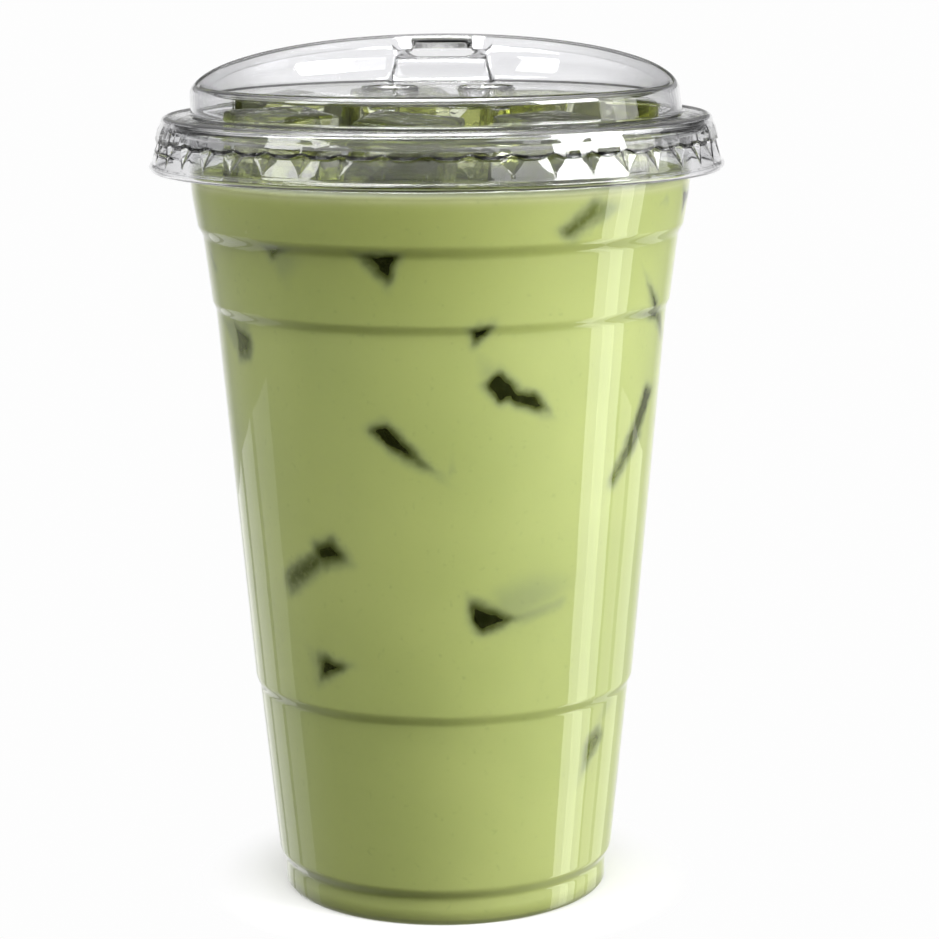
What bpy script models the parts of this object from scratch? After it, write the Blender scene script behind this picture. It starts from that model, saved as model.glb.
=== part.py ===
# An iced matcha latte in a clear 24 oz cup, with a clear sip lid pressed over the cup's rolled rim.
# Frame: +Z up, origin at the middle of the cup's foot. The low side of the lid faces -Y and the
# raised sip side +Y. Sizes below are in millimetres, and MM turns them into Blender's metres.

import random
from math import atan2, cos, pi, radians, sin, sqrt

import bmesh
import bpy
from mathutils import Euler, Matrix, Vector

MM = 0.001
GAP = 0.3               # left between pieces that touch
WELD = 0.05             # points closer than this are one

# Cup: outer radius and height where the wall changes, from the foot up.
CUP_WALL = 0.5
FOOT_R = 30.7
FOOT_CORNER = 0.9
FOOT_TOP = (30.7, 4.7)
LOWER_BAND = ((31.9, 7.5), (35.0, 38.8))
MIDDLE_BAND = ((35.8, 41.3), (41.8, 110.5))
UPPER_BAND = ((42.5, 112.7), (43.9, 123.9))
NECK_BAND = ((45.0, 126.8), (46.1, 133.5))
WALL_TOP = (46.4, 142.6)
RIM_RADIUS = 49.0       # half of the 98 mm that such lids fit
RIM_BEAD = 1.3
RIM_CENTRE_Z = 144.2
FOOT_RING_IN = 25.0     # the flat ring that the cup stands on runs from here to the foot's corner
PUSH_UP_R = 22.0
PUSH_UP = 2.4           # height of the raised middle of the base
CUP_SIDES = 64

# Drink.
DRINK_LEVEL = 135.0

# Lid: one thin sheet, given as (radius, height) of its upper face.
LID_WALL = 0.5
LID_TURN = 2.0          # degrees, so that the crimps fall where they should
LIP = ((52.4, 136.4), (52.9, 137.1))
SKIRT_TOP = (50.6, 145.3)
LEDGE = ((50.0, 146.3), (45.6, 146.3))
DOME_FOOT = (44.95, 146.9)
SHOULDER = (44.6, 150.3)
BEAD_R = (44.1, 43.3, 42.2)
BEAD_Z = (151.3, 151.7, 151.2)
INNER_EDGE = (41.0, 150.8)
DECK_Z = 150.2
DECK_R = (39.6, 26.0, 12.0)
SIP_RISE = 7.2          # how far the rim at the sip side stands above the rest
SIP_EDGE_RISE = 5.6     # the same for its inner edge, which lies lower
SIP_EDGE_IN = 1.0
SIP_FOOT_IN = 1.8
RISE_SOFTNESS = 0.12
CRIMPS = 44
CRIMP_DEPTH = 1.3
CRIMP_Z = (138.7, 143.3, 143.9)

# The block that the sip hole goes through, at the inner side of the raised rim.
BLOCK_HALF = 9.4
BLOCK_TOP = ((42.0, 156.4), (35.5, 154.4))
BLOCK_FOOT_R = 34.4
SIP_HOLE = (13.0, 5.0)
SIP_HOLE_Y = 38.9

# Two round dimples in the deck.
DIMPLE_X = 9.0
DIMPLE_Y = 15.0
DIMPLE_R = (5.2, 3.4)
DIMPLE_DEPTH = 4.0
DIMPLE_SIDES = 20

# Ice: seven pieces in a ring and one in the middle, all standing out of the drink.
ICE_IN_RING = 7
ICE_RING_R = 31.2
ICE_EDGE = (17.6, 20.0)
ICE_CENTRE_Z = (134.2, 139.0)
ICE_TILT = 20.0
ICE_TURN = 9.0
ICE_SHIFT = 0.9
ICE_CORNER_SHIFT = 0.8
ICE_ROUNDING = 2.2
ICE_SEED = 3834


def clear_scene():
    for old in list(bpy.data.objects):
        bpy.data.objects.remove(old, do_unlink=True)


def new_collection(name):
    made = bpy.data.collections.new(name)
    bpy.context.scene.collection.children.link(made)
    return made


def material(name, colour, roughness, transmission=0.0):
    made = bpy.data.materials.new(name)
    made.use_nodes = True
    shader = made.node_tree.nodes["Principled BSDF"]
    shader.inputs["Base Color"].default_value = (*colour, 1.0)
    shader.inputs["Roughness"].default_value = roughness
    shader.inputs["Metallic"].default_value = 0.0
    shader.inputs["Transmission Weight"].default_value = transmission
    return made


def add_object(name, mesh, collection, finish=None):
    made = bpy.data.objects.new(name, mesh)
    collection.objects.link(made)
    if finish:
        mesh.materials.append(finish)
    mesh.shade_smooth()
    mesh.set_sharp_from_angle(angle=radians(32))
    return made


def turned(name, profile, sides, collection, finish):
    """A profile of (radius, height) turned about Z. It runs down the outer side, from axis to axis."""
    mesh = bpy.data.meshes.new(name)
    points = [(radius * MM, 0.0, height * MM) for radius, height in profile]
    mesh.from_pydata(points, [(i, i + 1) for i in range(len(points) - 1)], [])
    made = add_object(name, mesh, collection, finish)
    screw = made.modifiers.new("turn", "SCREW")
    screw.steps = sides
    screw.render_steps = sides
    screw.use_merge_vertices = True
    screw.merge_threshold = WELD * MM
    return made


def wall_outside():
    """The outer side of the cup's wall, from the foot's corner up to under the rim."""
    corner = FOOT_R - FOOT_CORNER
    points = [(corner, 0.0), (corner + FOOT_CORNER * sin(pi / 4), FOOT_CORNER * (1 - cos(pi / 4)))]
    points.append((FOOT_R, FOOT_CORNER))
    points += [FOOT_TOP, *LOWER_BAND, *MIDDLE_BAND, *UPPER_BAND, *NECK_BAND, WALL_TOP]
    return points


def outside_radius(height):
    """The radius of the cup's outer side at a height above its foot."""
    points = wall_outside()
    for (r0, z0), (r1, z1) in zip(points, points[1:]):
        if z0 <= height <= z1 and z1 > z0:
            return r0 + (r1 - r0) * (height - z0) / (z1 - z0)
    return points[-1][0]


def wall_inside(shift, bottom, top):
    """The same wall moved inwards, from a bottom height to a top height."""
    heights = [z for r, z in wall_outside() if bottom + 1.0 < z < top - 1.0]
    return [(outside_radius(z) - shift, z) for z in [bottom] + heights + [top]]


def rim_bead(steps=6):
    """The rolled rim in section, from the inner wall's top over to the outer wall's top."""
    centre_r = RIM_RADIUS - RIM_BEAD
    start, end = radians(165), radians(-118)
    angles = [start + (end - start) * i / steps for i in range(steps + 1)]
    return [(centre_r + RIM_BEAD * cos(a), RIM_CENTRE_Z + RIM_BEAD * sin(a)) for a in angles]


def make_cup(collection, finish):
    floor = CUP_WALL + GAP
    inside = [(0.0, PUSH_UP + CUP_WALL), (PUSH_UP_R, PUSH_UP + CUP_WALL), (FOOT_RING_IN + 0.5, floor)]
    inside += wall_inside(CUP_WALL, floor, WALL_TOP[1] - 0.4)
    outside = list(reversed(wall_outside()))
    base = [(FOOT_RING_IN, 0.0), (PUSH_UP_R - 0.5, PUSH_UP), (0.0, PUSH_UP)]
    return turned("cup", inside + rim_bead() + outside + base, CUP_SIDES, collection, finish)


def crimp_inset(ring, column):
    """How far a crimp pushes the skirt in. Every second column is the middle of a crimp."""
    return CRIMP_DEPTH if ring == "crimp top" and column % 2 == 0 else 0.0


def rise_share(angle):
    """0 along the low side of the lid, up to 1 at the middle of the sip side, eased between."""
    c = cos(angle)
    return (c + sqrt(c * c + RISE_SOFTNESS ** 2)) / (1 + sqrt(1 + RISE_SOFTNESS ** 2))


def skirt_radius(height):
    """The skirt leans in from the lip to the ledge."""
    (r0, z0), (r1, z1) = LIP[1], SKIRT_TOP
    return r0 + (r1 - r0) * (height - z0) / (z1 - z0)


def lid_rings():
    """The lid's sheet from the lip to the middle of the deck: name, radius and height of each ring."""
    rings = [("lip", *LIP[0]), ("lip", *LIP[1])]
    for name, height in zip(("skirt", "crimp top", "skirt"), CRIMP_Z):
        rings.append((name, skirt_radius(height), height))
    rings += [("skirt", *SKIRT_TOP), ("ledge", *LEDGE[0]), ("ledge", *LEDGE[1])]
    rings += [("dome", *DOME_FOOT), ("dome", *SHOULDER)]
    rings += [("bead", r, z) for r, z in zip(BEAD_R, BEAD_Z)]
    rings += [("edge", *INNER_EDGE), ("foot", DECK_R[0], DECK_Z)]
    rings += [("deck", r, DECK_Z) for r in DECK_R[1:]]
    return rings


def lid_point(ring, radius, height, angle, column):
    """Where a point of the turned sheet goes. The angle is measured from the sip side."""
    share = rise_share(angle)
    across = radius * sin(angle)
    in_block = cos(angle) > 0 and abs(across) < BLOCK_HALF
    radius -= crimp_inset(ring, column)
    if ring == "bead":
        height += SIP_RISE * share
        if in_block and height > BLOCK_TOP[0][1] and radius < BEAD_R[1]:
            radius, height = BLOCK_TOP[0]
    elif ring == "edge":
        height += SIP_EDGE_RISE * share
        radius -= SIP_EDGE_IN * share
        if in_block:
            radius, height = BLOCK_TOP[1]
    elif ring == "foot":
        radius -= SIP_FOOT_IN * share
        if in_block:
            radius = BLOCK_FOOT_R
    elif ring == "dome" and height == SHOULDER[1]:
        height += (SIP_RISE - 0.6) * share
    return Vector((radius * sin(angle), radius * cos(angle), height)) * MM


def lid_sheet():
    """The lid's upper face: its section is spun about Z, then raised and crimped column by column."""
    columns = 2 * CRIMPS
    rings = lid_rings()
    sheet = bmesh.new()
    section = [sheet.verts.new((0.0, radius * MM, height * MM)) for name, radius, height in rings]
    section.append(sheet.verts.new((0.0, 0.0, DECK_Z * MM)))
    edges = [sheet.edges.new(pair) for pair in zip(section, section[1:])]
    bmesh.ops.spin(sheet, geom=section + edges, cent=(0, 0, 0), axis=(0, 0, 1), angle=-2 * pi,
                   steps=columns, use_merge=True)
    bmesh.ops.remove_doubles(sheet, verts=sheet.verts, dist=WELD * MM)
    by_place = {(round(radius, 2), round(height, 2)): name for name, radius, height in rings}
    for vert in sheet.verts:
        radius = sqrt(vert.co.x ** 2 + vert.co.y ** 2) / MM
        name = by_place.get((round(radius, 2), round(vert.co.z / MM, 2)))
        if name is None:
            continue
        angle = atan2(vert.co.x, vert.co.y)
        column = round(angle / (2 * pi) * columns)
        vert.co = lid_point(name, radius, vert.co.z / MM, angle, column)
    bmesh.ops.recalc_face_normals(sheet, faces=sheet.faces)
    top = max(sheet.faces, key=lambda face: face.calc_center_median().z)
    if top.normal.z < 0:
        bmesh.ops.reverse_faces(sheet, faces=sheet.faces)
    bmesh.ops.transform(sheet, matrix=Matrix.Rotation(radians(-LID_TURN), 4, "Z"), verts=sheet.verts)
    mesh = bpy.data.meshes.new("lid")
    sheet.to_mesh(mesh)
    sheet.free()
    return mesh


def cone(name, place, top_r, bottom_r, height, collection, sides=DIMPLE_SIDES):
    """A closed cone frustum that hangs down from a place, used to add to or cut the lid."""
    shape = bmesh.new()
    bmesh.ops.create_cone(shape, cap_ends=True, segments=sides, radius1=bottom_r * MM,
                          radius2=top_r * MM, depth=height * MM)
    middle = Vector((place[0], place[1], place[2] - height / 2)) * MM
    bmesh.ops.translate(shape, vec=middle, verts=shape.verts)
    mesh = bpy.data.meshes.new(name)
    shape.to_mesh(mesh)
    shape.free()
    return cutter(name, mesh, collection)


def cutter(name, mesh, collection):
    made = bpy.data.objects.new(name, mesh)
    collection.objects.link(made)
    made.hide_render = True
    made.display_type = "WIRE"
    return made


def boolean(target, other, operation):
    step = target.modifiers.new(operation.lower() + " " + other.name, "BOOLEAN")
    step.operation = operation
    step.object = other


def on_lid(x, y):
    """A place given in the lid's own axes, turned with the lid."""
    turn = radians(LID_TURN)
    return (x * cos(turn) + y * sin(turn), y * cos(turn) - x * sin(turn))


def sip_slot(collection):
    """An upright prism with rounded ends that cuts the sip hole."""
    width, depth = SIP_HOLE
    end_r = depth / 2
    shape = bmesh.new()
    bmesh.ops.create_cone(shape, cap_ends=True, segments=16, radius1=end_r * MM, radius2=end_r * MM,
                          depth=12 * MM)
    for vert in shape.verts:
        vert.co.x += (width / 2 - end_r) * MM * (1 if vert.co.x > 0 else -1)
    x, y = on_lid(0.0, SIP_HOLE_Y)
    place = Matrix.Translation(Vector((x, y, BLOCK_TOP[1][1] + 1.0)) * MM)
    bmesh.ops.transform(shape, matrix=place @ Matrix.Rotation(radians(-LID_TURN), 4, "Z"),
                        verts=shape.verts)
    mesh = bpy.data.meshes.new("sip slot")
    shape.to_mesh(mesh)
    shape.free()
    return cutter("sip slot", mesh, collection)


def make_lid(collection, cutters, finish):
    lid = add_object("lid", lid_sheet(), collection, finish)
    wall = lid.modifiers.new("wall", "SOLIDIFY")
    wall.thickness = LID_WALL * MM
    wall.offset = -1.0
    for side in (-1, 1):
        x, y = on_lid(side * DIMPLE_X, DIMPLE_Y)
        top_r, bottom_r = DIMPLE_R
        body_top = DECK_Z - LID_WALL / 2
        body = cone("dimple body %d" % side, (x, y, body_top), top_r + LID_WALL,
                    bottom_r + LID_WALL, DIMPLE_DEPTH + LID_WALL / 2, cutters)
        hollow = cone("dimple hollow %d" % side, (x, y, DECK_Z + 1.0), top_r, bottom_r,
                      DIMPLE_DEPTH + 1.0 - LID_WALL / 2, cutters)
        boolean(lid, body, "UNION")
        boolean(lid, hollow, "DIFFERENCE")
    boolean(lid, sip_slot(cutters), "DIFFERENCE")
    return lid


def ice_places():
    """Place, size and lean of each piece of ice: a ring near the wall, and one in the middle."""
    draw = random.Random(ICE_SEED)
    places = []
    for i in range(ICE_IN_RING + 1):
        in_ring = i < ICE_IN_RING
        angle = 2 * pi * i / ICE_IN_RING + radians(draw.uniform(-3, 3))
        reach = (ICE_RING_R + draw.uniform(-ICE_SHIFT, ICE_SHIFT)) if in_ring else 0.0
        place = (reach * cos(angle), reach * sin(angle), draw.uniform(*ICE_CENTRE_Z))
        size = [draw.uniform(*ICE_EDGE) for axis in range(3)]
        lean = [radians(draw.uniform(-ICE_TILT, ICE_TILT)) for axis in range(2)]
        turn = angle + radians(draw.uniform(-ICE_TURN, ICE_TURN))
        places.append((place, size, (lean[0], lean[1], turn)))
    return places


def ice_mesh(name, index, place, size, turn, grow=0.0):
    """A cube with its corners moved a little and its edges rounded by melting."""
    draw = random.Random(100 + index)
    block = bmesh.new()
    bmesh.ops.create_cube(block, size=1.0)
    for vert in block.verts:
        for axis in range(3):
            side = size[axis] + 2 * grow - draw.uniform(0, 2 * ICE_CORNER_SHIFT)
            vert.co[axis] *= side * MM
    bmesh.ops.bevel(block, geom=block.edges, offset=ICE_ROUNDING * MM, offset_type="OFFSET",
                    segments=2, profile=0.5, affect="EDGES", material=-1)
    bmesh.ops.triangulate(block, faces=block.faces)
    matrix = Matrix.Translation(Vector(place) * MM) @ Euler(turn).to_matrix().to_4x4()
    bmesh.ops.transform(block, matrix=matrix, verts=block.verts)
    mesh = bpy.data.meshes.new(name)
    block.to_mesh(mesh)
    block.free()
    return mesh


def make_ice(collection, finish):
    for index, (place, size, turn) in enumerate(ice_places()):
        name = "ice_%d" % (index + 1)
        add_object(name, ice_mesh(name, index, place, size, turn), collection, finish)


def make_drink(collection, cutters, finish):
    """The latte up to its level, with a place cut round each piece of ice that stands out of it."""
    shift = CUP_WALL + GAP
    bottom = CUP_WALL + 2 * GAP
    side = wall_inside(shift, bottom, DRINK_LEVEL)
    raised = PUSH_UP + CUP_WALL + GAP
    profile = [(0.0, DRINK_LEVEL)] + list(reversed(side))
    profile += [(FOOT_RING_IN + 0.6, bottom), (PUSH_UP_R, raised), (0.0, raised)]
    drink = turned("drink", profile, CUP_SIDES, collection, finish)
    for index, (place, size, turn) in enumerate(ice_places()):
        name = "ice space %d" % (index + 1)
        mesh = ice_mesh(name, index, place, size, turn, grow=GAP)
        boolean(drink, cutter(name, mesh, cutters), "DIFFERENCE")
    return drink


def main():
    clear_scene()
    parts = new_collection("iced matcha latte")
    cutters = new_collection("cutters")
    make_cup(parts, material("clear cup", (0.93, 0.95, 0.94), 0.05, 0.95))
    make_lid(parts, cutters, material("clear lid", (0.93, 0.94, 0.95), 0.04, 0.95))
    make_drink(parts, cutters, material("matcha latte", (0.42, 0.50, 0.17), 0.35))
    make_ice(parts, material("ice", (0.62, 0.68, 0.42), 0.08, 0.6))


main()
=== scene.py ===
from math import atan2, cos, inf, pi, radians, sin, sqrt

import bmesh
import bpy
from mathutils import Matrix, Vector


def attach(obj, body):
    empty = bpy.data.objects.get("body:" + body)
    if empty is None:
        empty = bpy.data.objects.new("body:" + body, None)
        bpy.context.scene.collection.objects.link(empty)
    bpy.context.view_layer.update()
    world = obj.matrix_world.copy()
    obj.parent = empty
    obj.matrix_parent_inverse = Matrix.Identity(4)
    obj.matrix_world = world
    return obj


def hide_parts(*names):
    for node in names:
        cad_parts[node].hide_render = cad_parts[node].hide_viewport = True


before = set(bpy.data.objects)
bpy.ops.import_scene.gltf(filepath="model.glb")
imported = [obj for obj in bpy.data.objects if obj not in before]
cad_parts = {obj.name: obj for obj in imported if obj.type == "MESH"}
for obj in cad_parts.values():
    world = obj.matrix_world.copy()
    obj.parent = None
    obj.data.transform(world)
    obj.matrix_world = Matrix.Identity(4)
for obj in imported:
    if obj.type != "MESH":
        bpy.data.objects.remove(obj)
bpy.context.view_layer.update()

# The cup: thin clear PET, drawn out of a flat sheet in one piece, with a rolled rim, three stiffening
# steps in the wall and a fourth at its narrower foot. Its section is turned about the cup's axis.
MM = 0.001
CUP_SIDES = 224
CUP_WALL = 0.5
WALL_STATIONS = ((30.7, 4.7), (31.9, 7.5), (35.0, 38.8), (35.8, 41.3), (41.8, 110.5), (42.5, 112.7),
                 (43.9, 123.9), (45.0, 126.8), (46.1, 133.5), (46.4, 142.6))
WALL_STEPS = tuple(zip(WALL_STATIONS[0:8:2], WALL_STATIONS[1:8:2]))
STEP_MARGIN = 0.6
FOOT_CORNER = 0.9
BASE_INSIDE = [(0.0, 2.9), (19.0, 2.9), (22.0, 2.6), (24.0, 1.2), (25.5, 0.8)]
BASE_OUTSIDE = [(25.0, 0.0), (24.0, 0.3), (22.0, 2.0), (19.0, 2.4), (0.0, 2.4)]
RIM_CENTRE = (47.7, 144.2)
RIM_BEAD = 1.3
RIM_ARC = (165, -118)
MERGE_DISTANCE = 0.00001


def wall_radius(height):
    """The outer radius of the cup's wall: straight bands, with an S curve at each step between them."""
    first_r, first_z = WALL_STATIONS[0]
    if height <= first_z:
        return first_r
    for band in zip(WALL_STATIONS, WALL_STATIONS[1:]):
        (r0, z0), (r1, z1) = band
        if height <= z1:
            share = (height - z0) / (z1 - z0)
            if band in WALL_STEPS:
                share = share * share * (3 - 2 * share)
            return r0 + (r1 - r0) * share
    return WALL_STATIONS[-1][0]


def wall_heights(low, high, fine=0.3, coarse=4.0):
    """Heights for the rings of a turned wall, close together at the steps."""
    heights, z = [], low
    while z < high:
        heights.append(z)
        near = any(low_z - STEP_MARGIN < z < high_z + STEP_MARGIN for (_, low_z), (_, high_z) in WALL_STEPS)
        z += fine if near else min(coarse, max(fine, step_distance(z) * 0.7))
    return heights + [high]


def step_distance(height):
    """How far below the next step of the wall a height is."""
    starts = [low_z - STEP_MARGIN for (_, low_z), _ in WALL_STEPS]
    above = [start - height for start in starts if start > height]
    return above[0] if above else inf


def turned_mesh(name, profile, sides):
    """A (radius, height) section in millimetres, turned about Z and closed at the axis."""
    body = bmesh.new()
    verts = [body.verts.new((radius * MM, 0.0, height * MM)) for radius, height in profile]
    edges = [body.edges.new(pair) for pair in zip(verts, verts[1:])]
    bmesh.ops.spin(body, geom=verts + edges, cent=(0, 0, 0), axis=(0, 0, 1), angle=2 * pi,
                   steps=sides, use_merge=True)
    bmesh.ops.remove_doubles(body, verts=body.verts, dist=MERGE_DISTANCE)
    bmesh.ops.recalc_face_normals(body, faces=body.faces)
    mesh = bpy.data.meshes.new(name)
    body.to_mesh(mesh)
    body.free()
    mesh.shade_smooth()
    return mesh


def add_piece(name, mesh, material, replaced):
    """Puts a finished mesh in the scene on the root body, with its finish and the node it stands for."""
    piece = bpy.data.objects.new(name, mesh)
    bpy.context.scene.collection.objects.link(piece)
    mesh.materials.clear()
    mesh.materials.append(material)
    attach(piece, "root")
    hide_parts(replaced)
    return piece


class Link:
    """A socket of a shader node that can be used in sums."""

    def __init__(self, tree, socket):
        self.tree = tree
        self.socket = socket

    def math(self, operation, *others):
        values = {i: value for i, value in enumerate((self,) + others)}
        return self.node("ShaderNodeMath", {"operation": operation}, values)

    def node(self, kind, settings, values, output=0):
        """Adds a node: its settings first, then the values or links of its sockets."""
        made = self.tree.nodes.new(kind)
        for key, value in settings.items():
            if key == "stops":
                ramp = made.color_ramp
                while len(ramp.elements) < len(value):
                    ramp.elements.new(0.5)
                for element, (place, colour) in zip(ramp.elements, value):
                    element.position = place
                    element.color = (*colour, 1.0)
            else:
                setattr(made, key, value)
        for key, value in values.items():
            if isinstance(value, Link):
                self.tree.links.new(value.socket, made.inputs[key])
            else:
                made.inputs[key].default_value = value
        return Link(self.tree, made.outputs[output])

    def __add__(self, other):
        return self.math("ADD", other)

    def __sub__(self, other):
        return self.math("SUBTRACT", other)

    def __mul__(self, other):
        return self.math("MULTIPLY", other)

    def __truediv__(self, other):
        return self.math("DIVIDE", other)

    def __rsub__(self, other):
        return (self * -1.0) + other

    __radd__ = __add__
    __rmul__ = __mul__

    def clamp(self, low, high):
        """0 at low, 1 at high, with a soft start and end."""
        return self.node("ShaderNodeMapRange", {"interpolation_type": "SMOOTHSTEP"},
                         {0: self, 1: low, 2: high, 3: 0.0, 4: 1.0})

    def mix(self, colour_a, colour_b):
        """colour_a where this is 0, colour_b where it is 1."""
        return self.node("ShaderNodeMix", {"data_type": "RGBA"}, {0: self, 6: colour_a, 7: colour_b},
                         output=2)


def new_material(name):
    """A material with only an output and a Principled shader, and a link to start its sums from."""
    made = bpy.data.materials.new(name)
    made.use_nodes = True
    tree = made.node_tree
    shader = tree.nodes["Principled BSDF"]
    where = tree.nodes.new("ShaderNodeTexCoord").outputs["Object"]
    return made, shader, Link(tree, where)


# The cup and the lid are of the same plastic. LEVEL_FACES says how far a face has to point up or down
# before it starts to count as level, and before it counts in full.
PET_IOR = 1.57
PET_SHADOW = 0.96
WAVES_PER_METRE = 55.0
WAVE_HEIGHT = 0.002
LEVEL_FACES = (0.93, 0.99)


def clear_plastic(name, tint, roughness, waviness, flat_clear=0.0):
    """Clear PET. Light for shadows passes straight through, and the surface is very slightly wavy. Flat
    level parts mirror less where flat_clear is set, so that what is under them shows."""
    made, shader, place = new_material(name)
    shader.inputs["Base Color"].default_value = (*tint, 1.0)
    shader.inputs["Roughness"].default_value = roughness
    shader.inputs["IOR"].default_value = PET_IOR
    shader.inputs["Transmission Weight"].default_value = 1.0
    waves = place.node("ShaderNodeTexNoise", {}, {"Vector": place, "Scale": WAVES_PER_METRE, "Detail": 1.0})
    bump = waves.node("ShaderNodeBump", {}, {"Strength": waviness, "Distance": WAVE_HEIGHT, "Height": waves})
    tree = made.node_tree
    tree.links.new(bump.socket, shader.inputs["Normal"])
    clear = tree.nodes.new("ShaderNodeBsdfTransparent")
    clear.inputs["Color"].default_value = (PET_SHADOW, PET_SHADOW, PET_SHADOW, 1.0)
    ray = tree.nodes.new("ShaderNodeLightPath")
    choice = tree.nodes.new("ShaderNodeMixShader")
    level = Link(tree, tree.nodes.new("ShaderNodeTexCoord").outputs["Normal"])
    level = level.node("ShaderNodeSeparateXYZ", {}, {0: level}, output=2).math("ABSOLUTE")
    shadow = Link(tree, ray.outputs["Is Shadow Ray"])
    through = (level.clamp(*LEVEL_FACES) * flat_clear).math("MAXIMUM", shadow)
    tree.links.new(through.socket, choice.inputs[0])
    tree.links.new(shader.outputs[0], choice.inputs[1])
    tree.links.new(clear.outputs[0], choice.inputs[2])
    tree.links.new(choice.outputs[0], tree.nodes["Material Output"].inputs[0])
    return made


def bead_arc(centre, radius, start, end, steps):
    """Points of an arc in the section, with its angles in degrees."""
    angles = [radians(start + (end - start) * i / steps) for i in range(steps + 1)]
    return [(centre[0] + radius * cos(a), centre[1] + radius * sin(a)) for a in angles]


heights = wall_heights(FOOT_CORNER, WALL_STATIONS[-1][1])
foot_r = WALL_STATIONS[0][0] - FOOT_CORNER
cup_profile = BASE_INSIDE + [(wall_radius(z) - CUP_WALL, z) for z in heights]
cup_profile += bead_arc(RIM_CENTRE, RIM_BEAD, *RIM_ARC, 20)
cup_profile += [(wall_radius(z), z) for z in reversed(heights)]
cup_profile += bead_arc((foot_r, FOOT_CORNER), FOOT_CORNER, -15, -90, 5) + BASE_OUTSIDE
pet = clear_plastic("cup_pet", (0.99, 1.0, 0.99), 0.02, 0.04)
add_piece("cup_wall", turned_mesh("cup_wall", cup_profile, CUP_SIDES), pet, "cup")

# The ice that stands out of the drink: clear cubes with their edges melted round, wetted green by the
# drink and floating at the top of the cup. Each keeps the place of its solid up to where it lifts, and
# from there its upper corners rise to the heights in ICE_TOPS, with less slope between them.
ICE_TOPS = (149.3, 149.3, 149.3, 149.3, 147.9, 148.3, 147.6, 149.3)
LIFT_FROM = 0.130
LIFT_OVER = 0.006
TOP_SLOPE = 0.3
FACET_GAP = 0.00002
MELT_CREASE = 0.8
MELT_LEVELS = 2
ICE_GRAIN = 120.0
ICE_IOR = 1.31
ICE_TINTS = ((0.24, 0.27, 0.04, 1.0), (0.92, 0.94, 0.74, 1.0))


def ice_material():
    """Clear ice with a faint cloud inside, and cells that the drink has tinted more or less."""
    made, shader, place = new_material("wet_ice")
    cloud = place.node("ShaderNodeTexNoise", {}, {"Vector": place, "Scale": ICE_GRAIN, "Detail": 3.0})
    cells = place.node("ShaderNodeTexVoronoi", {}, {"Vector": place, "Scale": ICE_GRAIN}, output=1)
    tint = (cells + cloud * 0.4).clamp(0.60, 0.80).mix(*ICE_TINTS)
    rough = cloud.clamp(0.35, 0.7) * 0.06 + 0.01
    shader.inputs["IOR"].default_value = ICE_IOR
    shader.inputs["Transmission Weight"].default_value = 0.96
    bump = cloud.node("ShaderNodeBump", {}, {"Strength": 0.5, "Distance": 0.0015, "Height": cloud})
    made.node_tree.links.new(tint.socket, shader.inputs["Base Color"])
    made.node_tree.links.new(rough.socket, shader.inputs["Roughness"])
    made.node_tree.links.new(bump.socket, shader.inputs["Normal"])
    return made


def melted_copy(node, top):
    """A copy of a solid with its facets joined and creased. Its upper corners are lifted to a flatter
    top, at the height where it floats."""
    block = bmesh.new()
    block.from_mesh(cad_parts[node].data)
    bmesh.ops.remove_doubles(block, verts=block.verts, dist=FACET_GAP)
    bmesh.ops.dissolve_limit(block, angle_limit=radians(1), verts=block.verts, edges=block.edges)
    highest = max(vert.co.z for vert in block.verts)
    for vert in block.verts:
        share = min(1.0, max(0.0, (vert.co.z - LIFT_FROM) / LIFT_OVER))
        vert.co.z += (top * MM - (highest - vert.co.z) * TOP_SLOPE - vert.co.z) * share
    crease = block.edges.layers.float.new("crease_edge")
    for edge in block.edges:
        edge[crease] = MELT_CREASE
    mesh = bpy.data.meshes.new(node + "_melted")
    block.to_mesh(mesh)
    block.free()
    return mesh


wet_ice = ice_material()
ice_pieces = []
for number, top in enumerate(ICE_TOPS, 1):
    node = "ice_%d" % number
    piece = add_piece(node + "_cube", melted_copy(node, top), wet_ice, node)
    smooth = piece.modifiers.new("smooth", "SUBSURF")
    smooth.levels = MELT_LEVELS
    smooth.render_levels = MELT_LEVELS
    piece.data.shade_smooth()
    ice_pieces.append(piece)

# The drink: milk with whisked matcha, filling the cup to just under the lid. Its side reaches into the
# cup's wall so that no air shows.
LEVEL = 135.0
INTO_WALL = 0.22
FLAT_TO = 41.0
MENISCUS = 0.7
MENISCUS_STEPS = 8
MENISCUS_CURVE = 6
DRINK_BASE = [(29.5, 0.25), (25.0, 0.25), (24.0, 0.7), (22.0, 2.3), (19.0, 2.6), (0.0, 2.6)]

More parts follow.
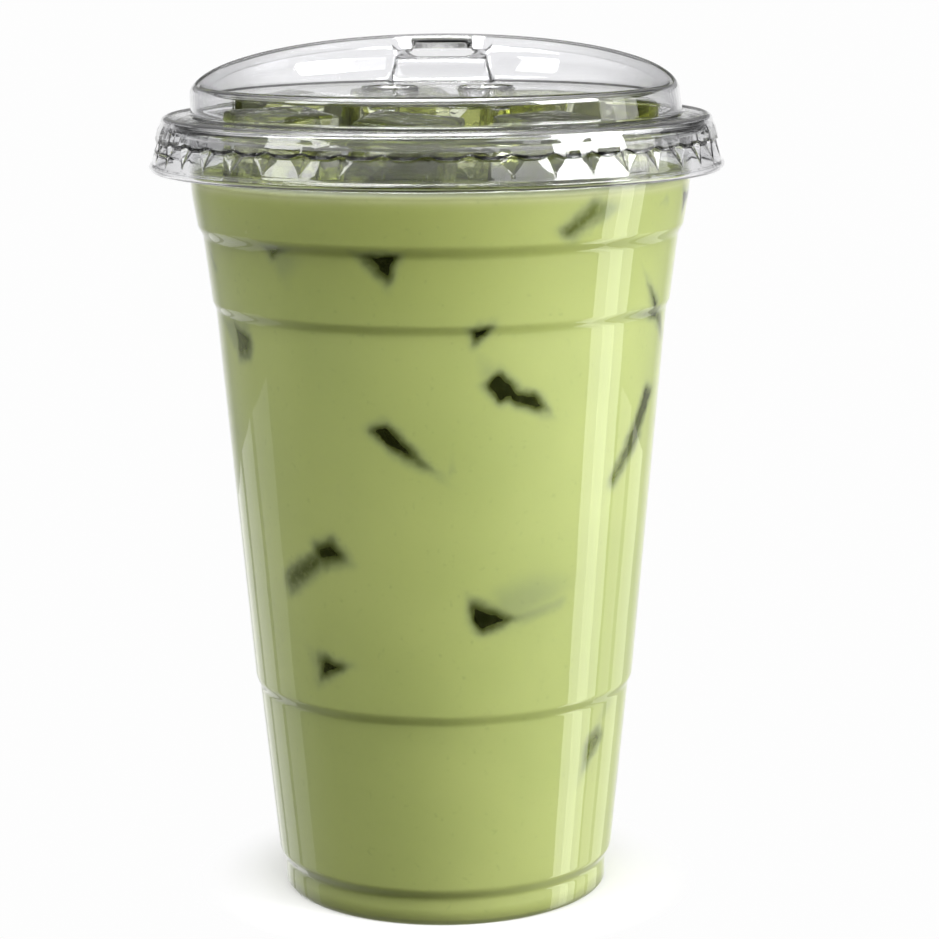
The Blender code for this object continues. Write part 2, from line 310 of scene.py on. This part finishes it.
# Where sunk ice lies against the wall, painted shade stands in for the shaded inside of the cup seen through
# the
# clear ice: dark, and grey where milk gets in between. Each patch is a place (degrees round from the front,
# height), a strength, and corners in order (across, up, and how soft the edge to the next corner is), in
# millimetres.
ICE_SHADE_PATCHES = (
    (33.2, 130.2, 0.85, ((-4.5, -1.6, 0.7), (1.9, 2.9, 0.9), (5.5, 1.7, 0.9), (-2.9, -3.0, 0.7))),
    (-13.3, 123.1, 1.00, ((-3.6, 1.6, 0.2), (2.7, 1.7, 0.5), (0.9, -3.2, 0.9))),
    (-41.8, 124.4, 0.95, ((-1.5, 0.8, 0.2), (2.2, 0.5, 0.3), (-0.7, -1.3, 0.4))),
    (-38.8, 122.4, 0.40, ((-3.4, 2.0, 0.5), (3.8, 1.6, 1.5), (-0.4, -3.5, 0.7))),
    (-59.3, 106.7, 1.00, ((-2.6, 3.2, 0.4), (2.9, 1.4, 0.5), (1.9, -2.1, 0.9), (-2.2, -2.5, 0.3))),
    (-61.7, 107.7, 0.55, ((-6.9, 2.3, 0.7), (4.4, 2.8, 0.9), (4.2, -2.0, 0.9), (-1.7, -3.1, 0.9))),
    (-71.3, 120.4, 0.55, ((-1.9, 2.7, 0.4), (1.8, -1.0, 0.4), (0.1, -1.7, 0.4))),
    (9.5, 111.2, 1.00, ((-1.9, 0.5, 0.5), (1.5, 1.3, 0.5), (1.6, 0.2, 0.5), (-1.2, -2.0, 0.5))),
    (14.8, 101.0, 1.00, ((-3.1, 0.7, 0.5), (-0.6, 3.3, 0.5), (4.4, -1.7, 0.5), (-0.7, -2.3, 0.5))),
    (21.0, 98.8, 1.00, ((-3.8, 2.1, 0.5), (2.2, 0.8, 0.5), (4.2, -2.4, 0.5), (-2.6, -0.5, 0.5))),
    (12.3, 103.1, 0.55, ((-2.1, 3.3, 1.1), (2.4, -0.5, 0.7), (-0.4, -2.8, 0.9))),
    (-12.6, 91.6, 1.00, ((-4.1, 2.1, 0.5), (-1.0, 3.5, 0.7), (5.9, -4.3, 0.7), (-0.8, -1.3, 0.5))),
    (-32.7, 70.5, 1.00, ((-2.8, 1.0, 0.9), (1.2, 2.6, 0.9), (3.9, -0.9, 1.1), (-2.3, -2.7, 1.1))),
    (-41.6, 66.4, 0.85, ((-4.4, -0.9, 0.9), (4.8, 4.5, 0.9), (3.6, 0.6, 0.9), (-4.0, -4.2, 0.9))),
    (-35.0, 48.8, 1.00, ((-1.7, 2.0, 0.7), (3.7, 0.7, 0.5), (-1.9, -2.7, 0.7))),
    (-38.0, 48.8, 0.45, ((-2.6, 3.0, 1.1), (3.5, 0.9, 1.1), (-0.9, -3.9, 1.1))),
    (11.1, 59.1, 1.00, ((-2.6, 3.5, 0.9), (5.9, -0.3, 0.7), (-0.8, -2.6, 0.5), (-2.4, -0.6, 0.5))),
    (22.8, 62.8, 0.45, ((-6.0, 0.7, 1.5), (0.7, 3.8, 2.2), (9.2, 1.3, 1.5), (-3.8, -5.8, 0.9))),
    (25.6, 59.7, 0.55, ((-6.6, 0.0, 0.7), (6.6, 2.1, 0.7), (6.7, 0.7, 0.7), (-6.6, -2.8, 0.9))),
    (63.1, 91.9, 1.00, ((1.6, 5.9, 0.4), (5.0, 4.3, 0.4), (-2.2, -5.9, 0.5), (-4.4, -4.4, 0.4))),
    (56.3, 85.8, 1.00, ((2.4, 5.5, 0.5), (5.5, 3.1, 0.5), (-3.4, -4.9, 0.5), (-4.5, -3.8, 0.5))),
    (64.1, 113.6, 0.95, ((-2.9, 3.0, 0.3), (2.1, -0.7, 0.3), (0.7, -2.2, 0.3))),
    (65.6, 111.1, 1.00, ((-4.9, 0.5, 0.3), (2.7, 0.6, 0.3), (2.3, -1.1, 0.3))),
    (72.1, 109.1, 0.85, ((-4.4, 2.7, 0.3), (1.2, 0.6, 0.3), (3.2, -3.3, 0.3))),
    (52.7, 31.4, 1.00, ((-2.1, 0.2, 0.5), (1.4, 3.0, 0.5), (2.8, 0.9, 0.5), (-2.1, -4.1, 0.5))),
    (58.6, 37.4, 0.45, ((-2.9, -2.9, 0.9), (0.3, 2.1, 1.1), (2.6, 0.8, 0.9))),
    (49.4, 27.6, 0.40, ((-0.4, 2.2, 0.7), (2.3, 0.8, 0.7), (-1.8, -3.0, 0.9))),
    (76.4, 131.4, 1.00, ((-3.0, 1.5, 0.2), (4.4, 0.9, 0.2), (-1.5, -2.4, 0.2))),
    (61.0, 131.9, 0.50, ((-1.6, -0.6, 0.4), (0.2, 1.2, 0.4), (1.4, -0.5, 0.4))),
    (2.2, 86.6, 0.45, ((-0.6, -1.2, 0.4), (0.1, 2.0, 0.4), (0.5, -0.8, 0.4))),
)

# Patches stronger than DARK_FROM are dark and have a grey halo. The others are only grey. RAGGED_EDGE is
# how far noise moves their edges, and TURNED_OVER the sum of the heights of a patch and its copy behind.
DARK_FROM = 0.8
HALO = 0.8
TURNED_OVER = 140.0
RAGGED_EDGE = (2.2, 1.6, 0.0)


def wall_patch(on_wall, degrees_round, height, corners):
    """1 inside a patch on the wall and 0 outside, with each edge as soft as its corner says. The second
    result is a wider, softer halo of the same patch."""
    arc = radians(1) * wall_radius(height)
    local = on_wall.node("ShaderNodeVectorMath", {"operation": "MULTIPLY_ADD"},
                         {0: on_wall, 1: (arc, 1.0, 0.0), 2: (-degrees_round * arc, -height, 1.0)})
    inside, halo = None, None
    for (u0, v0, soft), (u1, v1, _) in zip(corners, corners[1:] + corners[:1]):
        length = sqrt((u1 - u0) ** 2 + (v1 - v0) ** 2)
        across, up = (v1 - v0) / length, (u0 - u1) / length
        offset = -(across * u0 + up * v0)
        way = 1.0 if offset > 0 else -1.0
        depth = local.node("ShaderNodeVectorMath", {"operation": "DOT_PRODUCT"},
                           {0: local, 1: (across * way, up * way, offset * way)}, output=1)
        edge = depth.clamp(-1.4 * soft - 0.3, 1.4 * soft + 0.2)
        glow = depth.clamp(-1.4 - soft, 0.4)
        inside = edge if inside is None else inside * edge
        halo = glow if halo is None else halo * glow
    return inside, halo


def sunk_ice_shade(place, x, y, height):
    """How dark and how grey the painted shade of the sunk ice makes the drink. The hidden side has the same
    patches as the side that shows, turned upside down."""
    turned = x.math("ARCTAN2", y * -1.0) * (180 / pi)
    behind = turned.math("ABSOLUTE").math("GREATER_THAN", 90.0)
    turned = turned + behind * (turned.math("SIGN") * 180.0 - turned * 2.0)
    folded = height + behind * (height * -2.0 + TURNED_OVER)
    on_wall = place.node("ShaderNodeCombineXYZ", {}, {0: turned, 1: folded, 2: 0.0})
    ragged = place.node("ShaderNodeTexNoise", {}, {"Vector": place, "Scale": 420.0, "Detail": 2.0}, output=1)
    on_wall = on_wall.node("ShaderNodeVectorMath", {"operation": "MULTIPLY_ADD"},
                           {0: ragged, 1: RAGGED_EDGE, 2: on_wall})
    on_wall = on_wall.node("ShaderNodeVectorMath", {"operation": "ADD"},
                           {0: on_wall, 1: tuple(-size / 2 for size in RAGGED_EDGE)})
    dark, grey = None, None
    for degrees_round, patch_height, strength, corners in ICE_SHADE_PATCHES:
        patch, halo = wall_patch(on_wall, degrees_round, patch_height, corners)
        if strength > DARK_FROM:
            patch = patch * strength
            dark = patch if dark is None else dark.math("MAXIMUM", patch)
            halo = halo * HALO
        else:
            halo = patch * strength
        grey = halo if grey is None else grey.math("MAXIMUM", halo)
    return dark, grey


# The milk has painted shade near the top, where it is a little darker and greener under the lid, with a pale
# rim of foam and a dark line where the meniscus ends. Each colour has the height in millimetres where it is
# reached. LINE_FOOT and LINE_SLOPE give the radius of a straight line along the wall.
MILK_AND_SHADE_COLOURS = (
    (0.0, (0.376, 0.425, 0.120)), (18.0, (0.372, 0.424, 0.118)), (108.0, (0.372, 0.426, 0.114)),
    (120.0, (0.340, 0.392, 0.090)), (133.35, (0.335, 0.382, 0.084)), (134.175, (0.40, 0.43, 0.17)),
    (134.625, (0.37, 0.40, 0.14)), (135.075, (0.085, 0.105, 0.015)),
)
MILK_TOP = 150.0
CLOUDS = ((0.93, 0.94, 0.90, 1.0), (1.05, 1.04, 1.08, 1.0))
SPECK = (0.16, 0.20, 0.04, 1.0)
# Painted shade: the grey halo round sunk ice that lies against the wall.
HALO_SHADE = (0.155, 0.190, 0.080, 1.0)
# Painted shade: the dark blotches on the drink's top and in the gaps round the ice.
GAP_SHADE_COLOURS = ((0.035, 0.045, 0.003, 1.0), (0.260, 0.300, 0.080, 1.0))
# Painted shade: the dark of the shaded cup seen through sunk ice against the wall, with fine specks.
ICE_SHADE_COLOURS = ((0.190, 0.225, 0.052, 1.0), (0.290, 0.330, 0.110, 1.0))
LINE_SLOPE = 0.158
LINE_FOOT = 24.7
MILK_IOR = 1.7


def latte_material():
    """Matcha milk with fine specks, painted shade where sunk ice lies against its side, and painted shade in
    dark blotches on its top and round the ice, which is everything inside the line along the wall. The dark
    parts are finished as metal, which ice and milk aren't: they look dark because they mirror the dim front
    of the studio, and they look paler from behind, where they mirror the backdrop."""
    made, shader, place = new_material("matcha_latte")
    x, y, z = [place.node("ShaderNodeSeparateXYZ", {}, {0: place}, output=i) for i in range(3)]
    height = z * (1 / MM)
    fine = place.node("ShaderNodeTexNoise", {}, {"Vector": place, "Scale": 900.0, "Detail": 2.0})
    broad = place.node("ShaderNodeTexNoise", {}, {"Vector": place, "Scale": 28.0, "Detail": 3.0})
    blotches = place.node("ShaderNodeTexNoise", {}, {"Vector": place, "Scale": 130.0, "Detail": 2.0})
    # The milk's colours by height include painted shade: darker and greener towards the top, under the lid.
    stops = tuple((level / MILK_TOP, colour) for level, colour in MILK_AND_SHADE_COLOURS)
    milk = height.node("ShaderNodeValToRGB", {"stops": stops}, {0: height / MILK_TOP})
    milk = milk.node("ShaderNodeMix", {"data_type": "RGBA", "blend_type": "MULTIPLY"},
                     {0: 1.0, 6: milk, 7: broad.clamp(0.3, 0.7).mix(*CLOUDS)}, output=2)
    speckled = (fine.clamp(0.62, 0.78) * 0.25).mix(milk, SPECK)
    # Painted shade of the sunk ice: dark patches, and grey halos where milk gets in between.
    dark, grey = sunk_ice_shade(place, x, y, height)
    flat = place.node("ShaderNodeCombineXYZ", {}, {0: x, 1: y, 2: 0.0})
    out = flat.node("ShaderNodeVectorMath", {"operation": "LENGTH"}, {0: flat}, output=1) * (1 / MM)
    # Painted shade: inside the line along the wall, the top and the gaps round the ice are painted dark in
    # blotches.
    inner = (height * LINE_SLOPE - out + LINE_FOOT).clamp(0.5, 1.3)
    gap_shade = blotches.clamp(0.38, 0.66).mix(*GAP_SHADE_COLOURS)
    shaded_milk = inner.mix(grey.mix(speckled, HALO_SHADE), gap_shade)
    colour = dark.mix(shaded_milk, fine.clamp(0.45, 0.75).mix(*ICE_SHADE_COLOURS))
    metal = dark.math("MAXIMUM", inner)
    rough = dark * -0.3 + 0.55
    made.node_tree.links.new(colour.socket, shader.inputs["Base Color"])
    made.node_tree.links.new(metal.socket, shader.inputs["Metallic"])
    made.node_tree.links.new(rough.socket, shader.inputs["Roughness"])
    shader.inputs["Specular IOR Level"].default_value = 1.0
    shader.inputs["IOR"].default_value = MILK_IOR
    return made


drink_profile = [(0.0, LEVEL), (FLAT_TO, LEVEL)]
edge_r = wall_radius(LEVEL) - INTO_WALL
for i in range(1, MENISCUS_STEPS + 1):
    share = i / MENISCUS_STEPS
    drink_profile.append((FLAT_TO + (edge_r - FLAT_TO) * share, LEVEL + MENISCUS * share ** MENISCUS_CURVE))
drink_profile += [(wall_radius(z) - INTO_WALL, z) for z in reversed(wall_heights(1.1, LEVEL - 0.5))]
drink_profile += DRINK_BASE
latte = latte_material()
drink = add_piece("drink_body", turned_mesh("drink_body", drink_profile, CUP_SIDES), latte, "drink")
for piece in ice_pieces:
    cut = drink.modifiers.new("round " + piece.name, "BOOLEAN")
    cut.operation = "DIFFERENCE"
    cut.object = piece

# The lid: one thin sheet of clear PET. Its skirt is crimped to grip under the cup's rolled rim, and the
# rim of its top rises to the sip side at the back. It sits slightly turned and aside on the cup. Its
# section is a list of (radius, height) lines, from the lip at the bottom to the middle of the deck.
LID_WALL = 0.45
LID_TURN = 2.0
LID_ASIDE = 0.6
DOME_ASIDE = 0.3
DOME_HEIGHTS = (146.5, 150.5)
SKIRT_FOOT = (52.35, 138.0)
SKIRT_SLOPE = 0.243
SKIRT_TOP = 145.1
SKIRT_HEIGHTS = (
    (138.0, 138.35, 138.7) + tuple(round(139.0 + 0.3 * i, 1) for i in range(11))
    + (142.2, 142.3, 142.4, 142.48, 142.56, 142.66, 142.9, 143.3, 143.8, 144.3, 144.8, SKIRT_TOP))
DECK = 150.2
DECK_RADII = (
    (37.5, 37.0, 36.5, 36.0, 35.7, 35.4, 35.1, 34.8, 34.5, 34.2, 33.8, 33.0, 31.0, 29.0, 27.0, 25.0)
    + tuple(round(23.6 - 0.6 * i, 1) for i in range(22)) + (9.0, 6.0, 2.0))
LID_LINES = (
    ("lip", ((52.2, 136.3), (52.5, 136.35), (52.8, 136.7), (52.9, 137.1), (52.8, 137.5), (52.45, 137.8))),
    ("skirt", tuple((SKIRT_FOOT[0] - SKIRT_SLOPE * (z - SKIRT_FOOT[1]), z) for z in SKIRT_HEIGHTS)),
    ("ledge", ((50.60, 145.4), (50.45, 145.75), (50.15, 146.05), (49.7, 146.22), (49.0, 146.4),
               (48.0, 146.55), (47.0, 146.6), (46.2, 146.55), (45.6, 146.5), (45.15, 146.65))),
    ("dome", ((45.1, 147.0), (45.05, 147.8), (45.0, 148.6), (44.95, 149.4), (44.9, 150.1))),
    ("bead", ((44.8, 150.7), (44.55, 151.2), (44.1, 151.55), (43.5, 151.7), (42.85, 151.6), (42.3, 151.3))),
    ("edge", ((41.8, 151.05), (41.4, 150.95), (41.0, 150.8))),
    ("inner", ((40.8, 150.6), (40.5, 150.45), (40.2, 150.3), (39.8, 150.22))),
    ("deck", tuple((radius, DECK) for radius in DECK_RADII)),
)

# How far each line rises at the sip side, and how far the edge and the foot of the rise move inwards.
SIP_RISE = 7.2
EDGE_RISE = 5.6
RISE_SOFTNESS = 0.12
DOME_FOOT = 147.0
DOME_HEIGHT = 3.1
DOME_LAG = 0.4
EDGE_OUTER = 42.3
EDGE_WIDTH = 1.3
EDGE_IN = 1.2
INNER_TOP = 150.8
INNER_DROP = 0.58
INNER_IN = 0.6


def rise_share(angle):
    """0 along the low side of the lid, up to 1 at the middle of the sip side, eased between."""
    c = cos(angle)
    return (c + sqrt(c * c + RISE_SOFTNESS ** 2)) / (1 + sqrt(1 + RISE_SOFTNESS ** 2))


def ease(value, low, high):
    """0 at low, 1 at high, eased."""
    share = min(1.0, max(0.0, (value - low) / (high - low)))
    return share * share * (3 - 2 * share)


# Each crimp is an upside-down pyramid, pushed in from its point up to a step in the skirt. The tables
# give, for the ten columns from one crimp's middle to the next, how deep the crimp is and how far the
# step hangs down.
CRIMPS = 44
CRIMP_POINT = 138.7
CRIMP_TOP = 142.3
CRIMP_HALF = 0.30
CRIMP_TIP = 0.06
CRIMP_DEPTH = 1.0
CRIMP_DEPTHS = (0.95, 0.84, 0.14, 0.04, 0.0, 0.0, 0.0, 0.04, 0.14, 0.84)
PER_CRIMP = len(CRIMP_DEPTHS)
EDGE_SOFT = 0.045
EDGE_BESIDE = 0.035
CLOSES_FROM = 142.35
CLOSED_SHARE = 0.45
STEP = 142.45
STEP_OUT = 0.35
STEP_FADE = 143.8
STEP_SAG = 0.8
STEP_SAGS = (0.0, 0.15, 0.85, 1.0, 1.0, 1.0, 1.0, 1.0, 0.85, 0.15)


def crimp_width(height):
    """Half the width of a crimp at a height, as a share of the distance from crimp to crimp."""
    tall = (height - CRIMP_POINT) / (CRIMP_TOP - CRIMP_POINT)
    return CRIMP_HALF * min(1.0, max(CRIMP_TIP, tall))


def column_turn(column, height):
    """The angle of a column of the lid's sheet. Columns follow the crimps' edges where there are crimps."""
    crimp, place = divmod(column, PER_CRIMP)
    half = crimp_width(height)
    soft = min(EDGE_SOFT, half * 0.3)
    spots = (0.0, soft, half - soft, half, half + EDGE_BESIDE, 0.5,
             1.0 - EDGE_BESIDE - half, 1.0 - half, 1.0 - half + soft, 1.0 - soft)
    return (crimp + spots[place]) * 2 * pi / CRIMPS


def skirt_place(column, radius, height):
    """Where the crimps and the step above them put a point of the skirt."""
    place = column % PER_CRIMP
    tall = (height - CRIMP_POINT) / (CRIMP_TOP - CRIMP_POINT)
    if 0 < tall and height < STEP:
        closing = 1.0 if height < CLOSES_FROM else CLOSED_SHARE
        radius -= CRIMP_DEPTH * min(1.0, tall) * CRIMP_DEPTHS[place] * closing
    if height > STEP:
        radius += STEP_OUT * (1 - ease(height, STEP_FADE, SKIRT_TOP))
    sag = STEP_SAG * STEP_SAGS[place]
    if CRIMP_POINT < height <= STEP:
        height -= sag * (height - CRIMP_POINT) / (STEP - CRIMP_POINT)
    elif height > STEP:
        height -= sag * (SKIRT_TOP - height) / (SKIRT_TOP - STEP)
    return radius, height


def lid_place(part, radius, height, angle):
    """Where a point of the turned sheet goes. The angle is measured from the sip side."""
    share = rise_share(angle)
    if part == "dome":
        height += (SIP_RISE - DOME_LAG) * share * (height - DOME_FOOT) / DOME_HEIGHT
    elif part == "bead":
        height += SIP_RISE * share
    elif part == "edge":
        along = (EDGE_OUTER - radius) / EDGE_WIDTH
        height += (SIP_RISE + (EDGE_RISE - SIP_RISE) * along) * share
        radius -= EDGE_IN * along * share
    elif part == "inner":
        down = (INNER_TOP - height) / INNER_DROP
        height += EDGE_RISE * share * (1 - down)
        radius -= (EDGE_IN + INNER_IN * down) * share
    return radius, height


# The block that the sip hole goes through, and the two dimples, are pressed into the same sheet.
BLOCK_HALF = 9.3
BLOCK_SOFT = 0.5
BLOCK_FRONT = (34.4, 35.5)
BLOCK_TOP = 154.4
BLOCK_SLOPE = 0.31
BLOCK_FROM = 30.0
DIMPLES = ((-9.0, 15.0), (9.0, 15.0))
DIMPLE_RADII = (4.0, 5.2)
DIMPLE_DEPTH = 4.0
SIP_HOLE = (13.0, 5.0)
SIP_HOLE_Y = 38.9


def block_and_dimples(part, x, y, height):
    """The height of a point of the lid's top with the block raised and the dimples sunk."""
    radius = sqrt(x * x + y * y)
    if y > 0 and part in ("edge", "inner", "deck") and radius > BLOCK_FROM:
        inside = 1 - ease(abs(x), BLOCK_HALF - BLOCK_SOFT, BLOCK_HALF + BLOCK_SOFT)
        top = BLOCK_TOP + (radius - BLOCK_FRONT[1]) * BLOCK_SLOPE
        target = DECK + (top - DECK) * ease(radius, *BLOCK_FRONT)
        height = height + (max(height if part != "deck" else 0, target) - height) * inside
        if part in ("edge", "inner"):
            height = height + (min(height, top) - height) * inside
    if part == "deck":
        for dimple_x, dimple_y in DIMPLES:
            away = sqrt((x - dimple_x) ** 2 + (y - dimple_y) ** 2)
            height -= DIMPLE_DEPTH * (1 - ease(away, *DIMPLE_RADII))
    return height


def beyond_sip_hole(place):
    """The level way from the middle line of the sip hole to a place, in millimetres."""
    x, y = place.x / MM, place.y / MM
    half = (SIP_HOLE[0] - SIP_HOLE[1]) / 2
    return Vector((x - min(half, max(-half, x)), y - SIP_HOLE_Y, 0.0))


def lid_mesh():
    """The section spun round the lid's axis, each point then moved to where its part of the lid is."""
    columns = CRIMPS * PER_CRIMP
    section = [(part, r, z) for part, points in LID_LINES for r, z in points]
    body = bmesh.new()
    verts = [body.verts.new((0.0, r * MM, z * MM)) for part, r, z in section]
    verts.append(body.verts.new((0.0, 0.0, DECK * MM)))
    edges = [body.edges.new(pair) for pair in zip(verts, verts[1:])]
    bmesh.ops.spin(body, geom=verts + edges, cent=(0, 0, 0), axis=(0, 0, 1), angle=-2 * pi,
                   steps=columns, use_merge=True)
    bmesh.ops.remove_doubles(body, verts=body.verts, dist=MERGE_DISTANCE)
    names = {(round(r, 2), round(z, 2)): part for part, r, z in section}
    for vert in body.verts:
        radius = sqrt(vert.co.x ** 2 + vert.co.y ** 2) / MM
        height = vert.co.z / MM
        part = names.get((round(radius, 2), round(height, 2)))
        if part is None:
            continue
        column = round(atan2(vert.co.x, vert.co.y) / (2 * pi) * columns) % columns
        angle = column_turn(column, height if part == "skirt" else SKIRT_TOP)
        if part == "skirt":
            radius, height = skirt_place(column, radius, height)
        radius, height = lid_place(part, radius, height, angle)
        x, y = radius * sin(angle), radius * cos(angle)
        vert.co = Vector((x, y, block_and_dimples(part, x, y, height))) * MM
    cut_sip_hole(body)
    bmesh.ops.recalc_face_normals(body, faces=body.faces)
    highest = max(body.faces, key=lambda face: face.calc_center_median().z)
    if highest.normal.z < 0:
        bmesh.ops.reverse_faces(body, faces=body.faces)
    turn = Matrix.Rotation(radians(-LID_TURN), 4, "Z")
    bmesh.ops.transform(body, matrix=turn, verts=body.verts)
    for vert in body.verts:
        vert.co.x -= (LID_ASIDE + DOME_ASIDE * ease(vert.co.z / MM, *DOME_HEIGHTS)) * MM
    mesh = bpy.data.meshes.new("lid_sheet")
    body.to_mesh(mesh)
    body.free()
    mesh.shade_smooth()
    return mesh


def cut_sip_hole(body):
    """Takes out the faces in the hole, and moves its ragged edge on to a slot with round ends."""
    reach = SIP_HOLE[1] / 2
    hole = [face for face in body.faces if beyond_sip_hole(face.calc_center_median()).length < reach]
    bmesh.ops.delete(body, geom=hole, context="FACES")
    for vert in body.verts:
        if vert.is_boundary and vert.co.z > SKIRT_TOP * MM:
            out = beyond_sip_hole(vert.co)
            vert.co += (out.normalized() * reach - out) * MM


lid_pet = clear_plastic("lid_pet", (0.95, 0.95, 0.962), 0.015, 0.03, 0.7)
lid = add_piece("lid_sheet", lid_mesh(), lid_pet, "lid")
thick = lid.modifiers.new("wall", "SOLIDIFY")
thick.thickness = LID_WALL * MM
thick.offset = -1.0

# The stage: white paper that glows like the backdrop except under the cup, softboxes at the front, the
# right, the left and overhead, and strips on both sides for narrow highlights. The front box lights
# without being mirrored, and the paper isn't seen through the plastic, where it would veil the milk.
WHITE = (0.985, 0.985, 0.985, 1.0)
PAPER = (0.72, 0.72, 0.72, 1.0)
PAPER_SIZE = 4.0
GLOW_FROM = (0.029, 0.048)
floor_mesh = bpy.data.meshes.new("floor")
sweep = bmesh.new()
bmesh.ops.create_grid(sweep, x_segments=1, y_segments=1, size=PAPER_SIZE)
sweep.to_mesh(floor_mesh)
sweep.free()
floor = bpy.data.objects.new("floor", floor_mesh)
bpy.context.scene.collection.objects.link(floor)
floor.visible_glossy = False
floor.visible_transmission = False
floor.visible_shadow = False
paper, paper_shader, paper_place = new_material("white_paper")
paper_shader.inputs["Base Color"].default_value = PAPER
paper_shader.inputs["Roughness"].default_value = 1.0
paper_shader.inputs["Specular IOR Level"].default_value = 0.0
tree = paper.node_tree
glow = tree.nodes.new("ShaderNodeEmission")
glow.inputs["Color"].default_value = WHITE
distance = paper_place.node("ShaderNodeVectorMath", {"operation": "LENGTH"}, {0: paper_place}, output=1)
far = distance.clamp(*GLOW_FROM)
choice = tree.nodes.new("ShaderNodeMixShader")
tree.links.new(far.socket, choice.inputs[0])
tree.links.new(paper_shader.outputs[0], choice.inputs[1])
tree.links.new(glow.outputs[0], choice.inputs[2])
tree.links.new(choice.outputs[0], tree.nodes["Material Output"].inputs[0])
floor_mesh.materials.append(paper)


def area_light(name, azimuth, elevation, place, size, power):
    """An area light that shines back along its direction. Azimuth 0 is the camera's side, 90 the right."""
    lamp = bpy.data.lights.new(name, "AREA")
    lamp.shape = "RECTANGLE"
    lamp.size, lamp.size_y = size
    lamp.energy = power
    holder = bpy.data.objects.new(name, lamp)
    bpy.context.scene.collection.objects.link(holder)
    a, e = radians(azimuth), radians(elevation)
    away = Vector((sin(a) * cos(e), -cos(a) * cos(e), sin(e)))
    distance, height = place
    holder.location = away * distance + Vector((0.0, 0.0, height))
    holder.rotation_euler = away.to_track_quat("Z", "Y").to_euler()
    holder.visible_camera = False
    return holder


BOX_PLACE = (0.8, 0.085)
BOX_SIZE = (0.45, 0.30)
front_box = area_light("front box", 40, 28, BOX_PLACE, BOX_SIZE, 1.75)
front_box.visible_glossy = False
area_light("right box", 65, 28, BOX_PLACE, BOX_SIZE, 5.0)
area_light("top box", -60, 65, BOX_PLACE, BOX_SIZE, 2.7)
area_light("left box", -62, 30, BOX_PLACE, (0.30, 0.25), 1.1)
area_light("ceiling box", 0, 84, (0.6, 0.085), (0.30, 0.30), 3.0)

# Each strip has its azimuth and power, and the low ones their width between.
LOW_STRIPS = ((-150, 0.20, 0.15), (-130, 0.20, 0.16), (-110, 0.20, 0.12),
              (112, 0.14, 0.10), (130, 0.20, 0.18))
TALL_STRIPS = ((84, 0.57), (92, 0.80), (100, 0.45))
for azimuth, width, power in LOW_STRIPS:
    area_light("low strip %d" % azimuth, azimuth, 0, (0.7, -0.29), (width, 0.42), power)
for azimuth, power in TALL_STRIPS:
    area_light("tall strip %d" % azimuth, azimuth, 0, (0.7, -0.05), (0.10, 0.90), power)

world = bpy.data.worlds.new("studio")
bpy.context.scene.world = world
world.use_nodes = True
tree = world.node_tree
air = tree.nodes["Background"]
ray = tree.nodes.new("ShaderNodeLightPath")
white = tree.nodes.new("ShaderNodeBackground")
white.inputs["Color"].default_value = WHITE
direction = Link(tree, tree.nodes.new("ShaderNodeTexCoord").outputs["Generated"])
back = direction.node("ShaderNodeSeparateXYZ", {}, {0: direction}, output=1)
up = direction.node("ShaderNodeSeparateXYZ", {}, {0: direction}, output=2)

# What the plastic mirrors and shows of the studio: a bright backdrop that fades to the sides and above,
# a ceiling in front of it, a faint glow round the front, and a dim floor except right behind the cup.
# The limits say how far backwards or upwards a direction of length 1 goes.
backdrop = back.clamp(0.2, 0.8) * 0.30 + back.clamp(0.80, 0.96) * 0.68
ceiling = up.clamp(0.2, 0.6) * (1.0 - back.clamp(0.2, 0.7)) * 1.1
around = (1.0 - back.clamp(0.0, 0.4)) * up.clamp(-0.15, 0.0) * (1.0 - up.clamp(0.2, 0.6)) * 0.06
below = (1.0 - up.clamp(-0.35, -0.05)) * back.clamp(-0.3, 0.3) * (1.0 - back.clamp(0.84, 0.96)) * 0.30
shade = below + backdrop * (1.0 - up.clamp(0.05, 0.12) * 0.75) + ceiling + around
air.inputs["Color"].default_value = (1.0, 1.0, 1.0, 1.0)
tree.links.new(shade.socket, air.inputs["Strength"])
choice = tree.nodes.new("ShaderNodeMixShader")
tree.links.new(ray.outputs["Is Camera Ray"], choice.inputs[0])
tree.links.new(air.outputs[0], choice.inputs[1])
tree.links.new(white.outputs[0], choice.inputs[2])
tree.links.new(choice.outputs[0], tree.nodes["World Output"].inputs[0])
bpy.context.scene.view_settings.view_transform = "Standard"

# The camera, found by fitting the cup's rings to their places in the photograph. It looks down on the cup
# from just above its lid.
CAMERA_BACK = 0.53736
CAMERA_UP = 0.18206
LENS = 111.33
PITCH = radians(10.827)
YAW = radians(0.538)
ROLL = radians(-0.338)
lens = bpy.data.cameras.new("camera")
lens.lens = LENS
lens.sensor_width = 36.0
lens.clip_start = 0.01
camera = bpy.data.objects.new("camera", lens)
bpy.context.scene.collection.objects.link(camera)
across = Vector((cos(YAW), -sin(YAW), 0.0))
ahead = Vector((sin(YAW) * cos(PITCH), cos(YAW) * cos(PITCH), -sin(PITCH)))
upward = Vector((sin(YAW) * sin(PITCH), cos(YAW) * sin(PITCH), cos(PITCH)))
right = across * cos(ROLL) + upward * sin(ROLL)
top = upward * cos(ROLL) - across * sin(ROLL)
aim = Matrix((right, top, -ahead)).transposed().to_4x4()
camera.matrix_world = Matrix.Translation((0.0, -CAMERA_BACK, CAMERA_UP)) @ aim
bpy.context.scene.camera = camera

bpy.context.view_layer.update()
